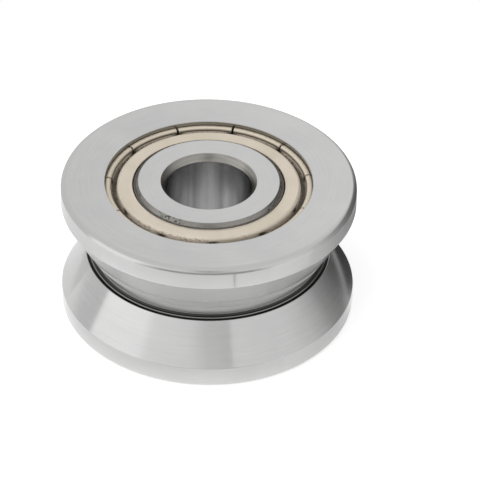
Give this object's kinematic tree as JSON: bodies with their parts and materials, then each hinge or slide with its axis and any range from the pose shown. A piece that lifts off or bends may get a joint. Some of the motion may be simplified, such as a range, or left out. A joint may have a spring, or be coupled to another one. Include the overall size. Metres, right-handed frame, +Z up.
{
  "type": "v groove wheel",
  "caption": "Shielded ball bearing track roller with a V groove round its rim and a plain through bore.",
  "frame": {"origin": "on the bore's axis, at the lower end face that the wheel stands on", "axes": "+Z up along the bore's axis; the wheel is round, so X and Y lie along any two radii, and the first ball of each row lies on +X"},
  "size_m": [0.041, 0.041, 0.02],
  "materials": {
    "ring_steel": "turned and ground bearing steel",
    "shield_steel": "pressed steel, yellow zinc plate",
    "ball_steel": "lapped bearing steel",
    "cage_nylon": "moulded black nylon"
  },
  "bodies": {
    "inner_race": {"inner_ring": "ring_steel"},
    "outer_race": {"outer_ring": "ring_steel", "upper_shield": "shield_steel", "lower_shield": "shield_steel"},
    "upper_crown": {"upper_cage": "cage_nylon"},
    "upper_ball_1_body": {"upper_ball_1": "ball_steel"},
    "upper_ball_2_body": {"upper_ball_2": "ball_steel"},
    "upper_ball_3_body": {"upper_ball_3": "ball_steel"},
    "upper_ball_4_body": {"upper_ball_4": "ball_steel"},
    "upper_ball_5_body": {"upper_ball_5": "ball_steel"},
    "upper_ball_6_body": {"upper_ball_6": "ball_steel"},
    "upper_ball_7_body": {"upper_ball_7": "ball_steel"},
    "upper_ball_8_body": {"upper_ball_8": "ball_steel"},
    "upper_ball_9_body": {"upper_ball_9": "ball_steel"},
    "lower_crown": {"lower_cage": "cage_nylon"},
    "lower_ball_1_body": {"lower_ball_1": "ball_steel"},
    "lower_ball_2_body": {"lower_ball_2": "ball_steel"},
    "lower_ball_3_body": {"lower_ball_3": "ball_steel"},
    "lower_ball_4_body": {"lower_ball_4": "ball_steel"},
    "lower_ball_5_body": {"lower_ball_5": "ball_steel"},
    "lower_ball_6_body": {"lower_ball_6": "ball_steel"},
    "lower_ball_7_body": {"lower_ball_7": "ball_steel"},
    "lower_ball_8_body": {"lower_ball_8": "ball_steel"},
    "lower_ball_9_body": {"lower_ball_9": "ball_steel"}
  },
  "joints": [
    {"name": "outer_spin", "type": "hinge", "parent": "inner_race", "child": "outer_race", "pos_m": [0, 0, 0.01], "axis": [0, 0, 1], "continuous": true},
    {"name": "upper_cage_orbit", "type": "hinge", "parent": "inner_race", "child": "upper_crown", "pos_m": [0, 0, 0.0144], "axis": [0, 0, 1], "continuous": true},
    {"name": "upper_ball_1_roll", "type": "hinge", "parent": "upper_crown", "child": "upper_ball_1_body", "pos_m": [0.01175, 0, 0.0144], "axis": [0, 0, 1], "continuous": true},
    {"name": "upper_ball_2_roll", "type": "hinge", "parent": "upper_crown", "child": "upper_ball_2_body", "pos_m": [0.009, 0.00755, 0.0144], "axis": [0, 0, 1], "continuous": true},
    {"name": "upper_ball_3_roll", "type": "hinge", "parent": "upper_crown", "child": "upper_ball_3_body", "pos_m": [0.00204, 0.01157, 0.0144], "axis": [0, 0, 1], "continuous": true},
    {"name": "upper_ball_4_roll", "type": "hinge", "parent": "upper_crown", "child": "upper_ball_4_body", "pos_m": [-0.00588, 0.01018, 0.0144], "axis": [0, 0, 1], "continuous": true},
    {"name": "upper_ball_5_roll", "type": "hinge", "parent": "upper_crown", "child": "upper_ball_5_body", "pos_m": [-0.01104, 0.00402, 0.0144], "axis": [0, 0, 1], "continuous": true},
    {"name": "upper_ball_6_roll", "type": "hinge", "parent": "upper_crown", "child": "upper_ball_6_body", "pos_m": [-0.01104, -0.00402, 0.0144], "axis": [0, 0, 1], "continuous": true},
    {"name": "upper_ball_7_roll", "type": "hinge", "parent": "upper_crown", "child": "upper_ball_7_body", "pos_m": [-0.00588, -0.01018, 0.0144], "axis": [0, 0, 1], "continuous": true},
    {"name": "upper_ball_8_roll", "type": "hinge", "parent": "upper_crown", "child": "upper_ball_8_body", "pos_m": [0.00204, -0.01157, 0.0144], "axis": [0, 0, 1], "continuous": true},
    {"name": "upper_ball_9_roll", "type": "hinge", "parent": "upper_crown", "child": "upper_ball_9_body", "pos_m": [0.009, -0.00755, 0.0144], "axis": [0, 0, 1], "continuous": true},
    {"name": "lower_cage_orbit", "type": "hinge", "parent": "inner_race", "child": "lower_crown", "pos_m": [0, 0, 0.0056], "axis": [0, 0, 1], "continuous": true},
    {"name": "lower_ball_1_roll", "type": "hinge", "parent": "lower_crown", "child": "lower_ball_1_body", "pos_m": [0.01175, 0, 0.0056], "axis": [0, 0, 1], "continuous": true},
    {"name": "lower_ball_2_roll", "type": "hinge", "parent": "lower_crown", "child": "lower_ball_2_body", "pos_m": [0.009, 0.00755, 0.0056], "axis": [0, 0, 1], "continuous": true},
    {"name": "lower_ball_3_roll", "type": "hinge", "parent": "lower_crown", "child": "lower_ball_3_body", "pos_m": [0.00204, 0.01157, 0.0056], "axis": [0, 0, 1], "continuous": true},
    {"name": "lower_ball_4_roll", "type": "hinge", "parent": "lower_crown", "child": "lower_ball_4_body", "pos_m": [-0.00588, 0.01018, 0.0056], "axis": [0, 0, 1], "continuous": true},
    {"name": "lower_ball_5_roll", "type": "hinge", "parent": "lower_crown", "child": "lower_ball_5_body", "pos_m": [-0.01104, 0.00402, 0.0056], "axis": [0, 0, 1], "continuous": true},
    {"name": "lower_ball_6_roll", "type": "hinge", "parent": "lower_crown", "child": "lower_ball_6_body", "pos_m": [-0.01104, -0.00402, 0.0056], "axis": [0, 0, 1], "continuous": true},
    {"name": "lower_ball_7_roll", "type": "hinge", "parent": "lower_crown", "child": "lower_ball_7_body", "pos_m": [-0.00588, -0.01018, 0.0056], "axis": [0, 0, 1], "continuous": true},
    {"name": "lower_ball_8_roll", "type": "hinge", "parent": "lower_crown", "child": "lower_ball_8_body", "pos_m": [0.00204, -0.01157, 0.0056], "axis": [0, 0, 1], "continuous": true},
    {"name": "lower_ball_9_roll", "type": "hinge", "parent": "lower_crown", "child": "lower_ball_9_body", "pos_m": [0.009, -0.00755, 0.0056], "axis": [0, 0, 1], "continuous": true}
  ],
  "couplings": [
    {"joint": "upper_cage_orbit", "follows": "outer_spin", "ratio": 0.60134},
    {"joint": "upper_ball_1_roll", "follows": "outer_spin", "ratio": 2.3656},
    {"joint": "upper_ball_2_roll", "follows": "outer_spin", "ratio": 2.3656},
    {"joint": "upper_ball_3_roll", "follows": "outer_spin", "ratio": 2.3656},
    {"joint": "upper_ball_4_roll", "follows": "outer_spin", "ratio": 2.3656},
    {"joint": "upper_ball_5_roll", "follows": "outer_spin", "ratio": 2.3656},
    {"joint": "upper_ball_6_roll", "follows": "outer_spin", "ratio": 2.3656},
    {"joint": "upper_ball_7_roll", "follows": "outer_spin", "ratio": 2.3656},
    {"joint": "upper_ball_8_roll", "follows": "outer_spin", "ratio": 2.3656},
    {"joint": "upper_ball_9_roll", "follows": "outer_spin", "ratio": 2.3656},
    {"joint": "lower_cage_orbit", "follows": "outer_spin", "ratio": 0.60134},
    {"joint": "lower_ball_1_roll", "follows": "outer_spin", "ratio": 2.3656},
    {"joint": "lower_ball_2_roll", "follows": "outer_spin", "ratio": 2.3656},
    {"joint": "lower_ball_3_roll", "follows": "outer_spin", "ratio": 2.3656},
    {"joint": "lower_ball_4_roll", "follows": "outer_spin", "ratio": 2.3656},
    {"joint": "lower_ball_5_roll", "follows": "outer_spin", "ratio": 2.3656},
    {"joint": "lower_ball_6_roll", "follows": "outer_spin", "ratio": 2.3656},
    {"joint": "lower_ball_7_roll", "follows": "outer_spin", "ratio": 2.3656},
    {"joint": "lower_ball_8_roll", "follows": "outer_spin", "ratio": 2.3656},
    {"joint": "lower_ball_9_roll", "follows": "outer_spin", "ratio": 2.3656}
  ]
}
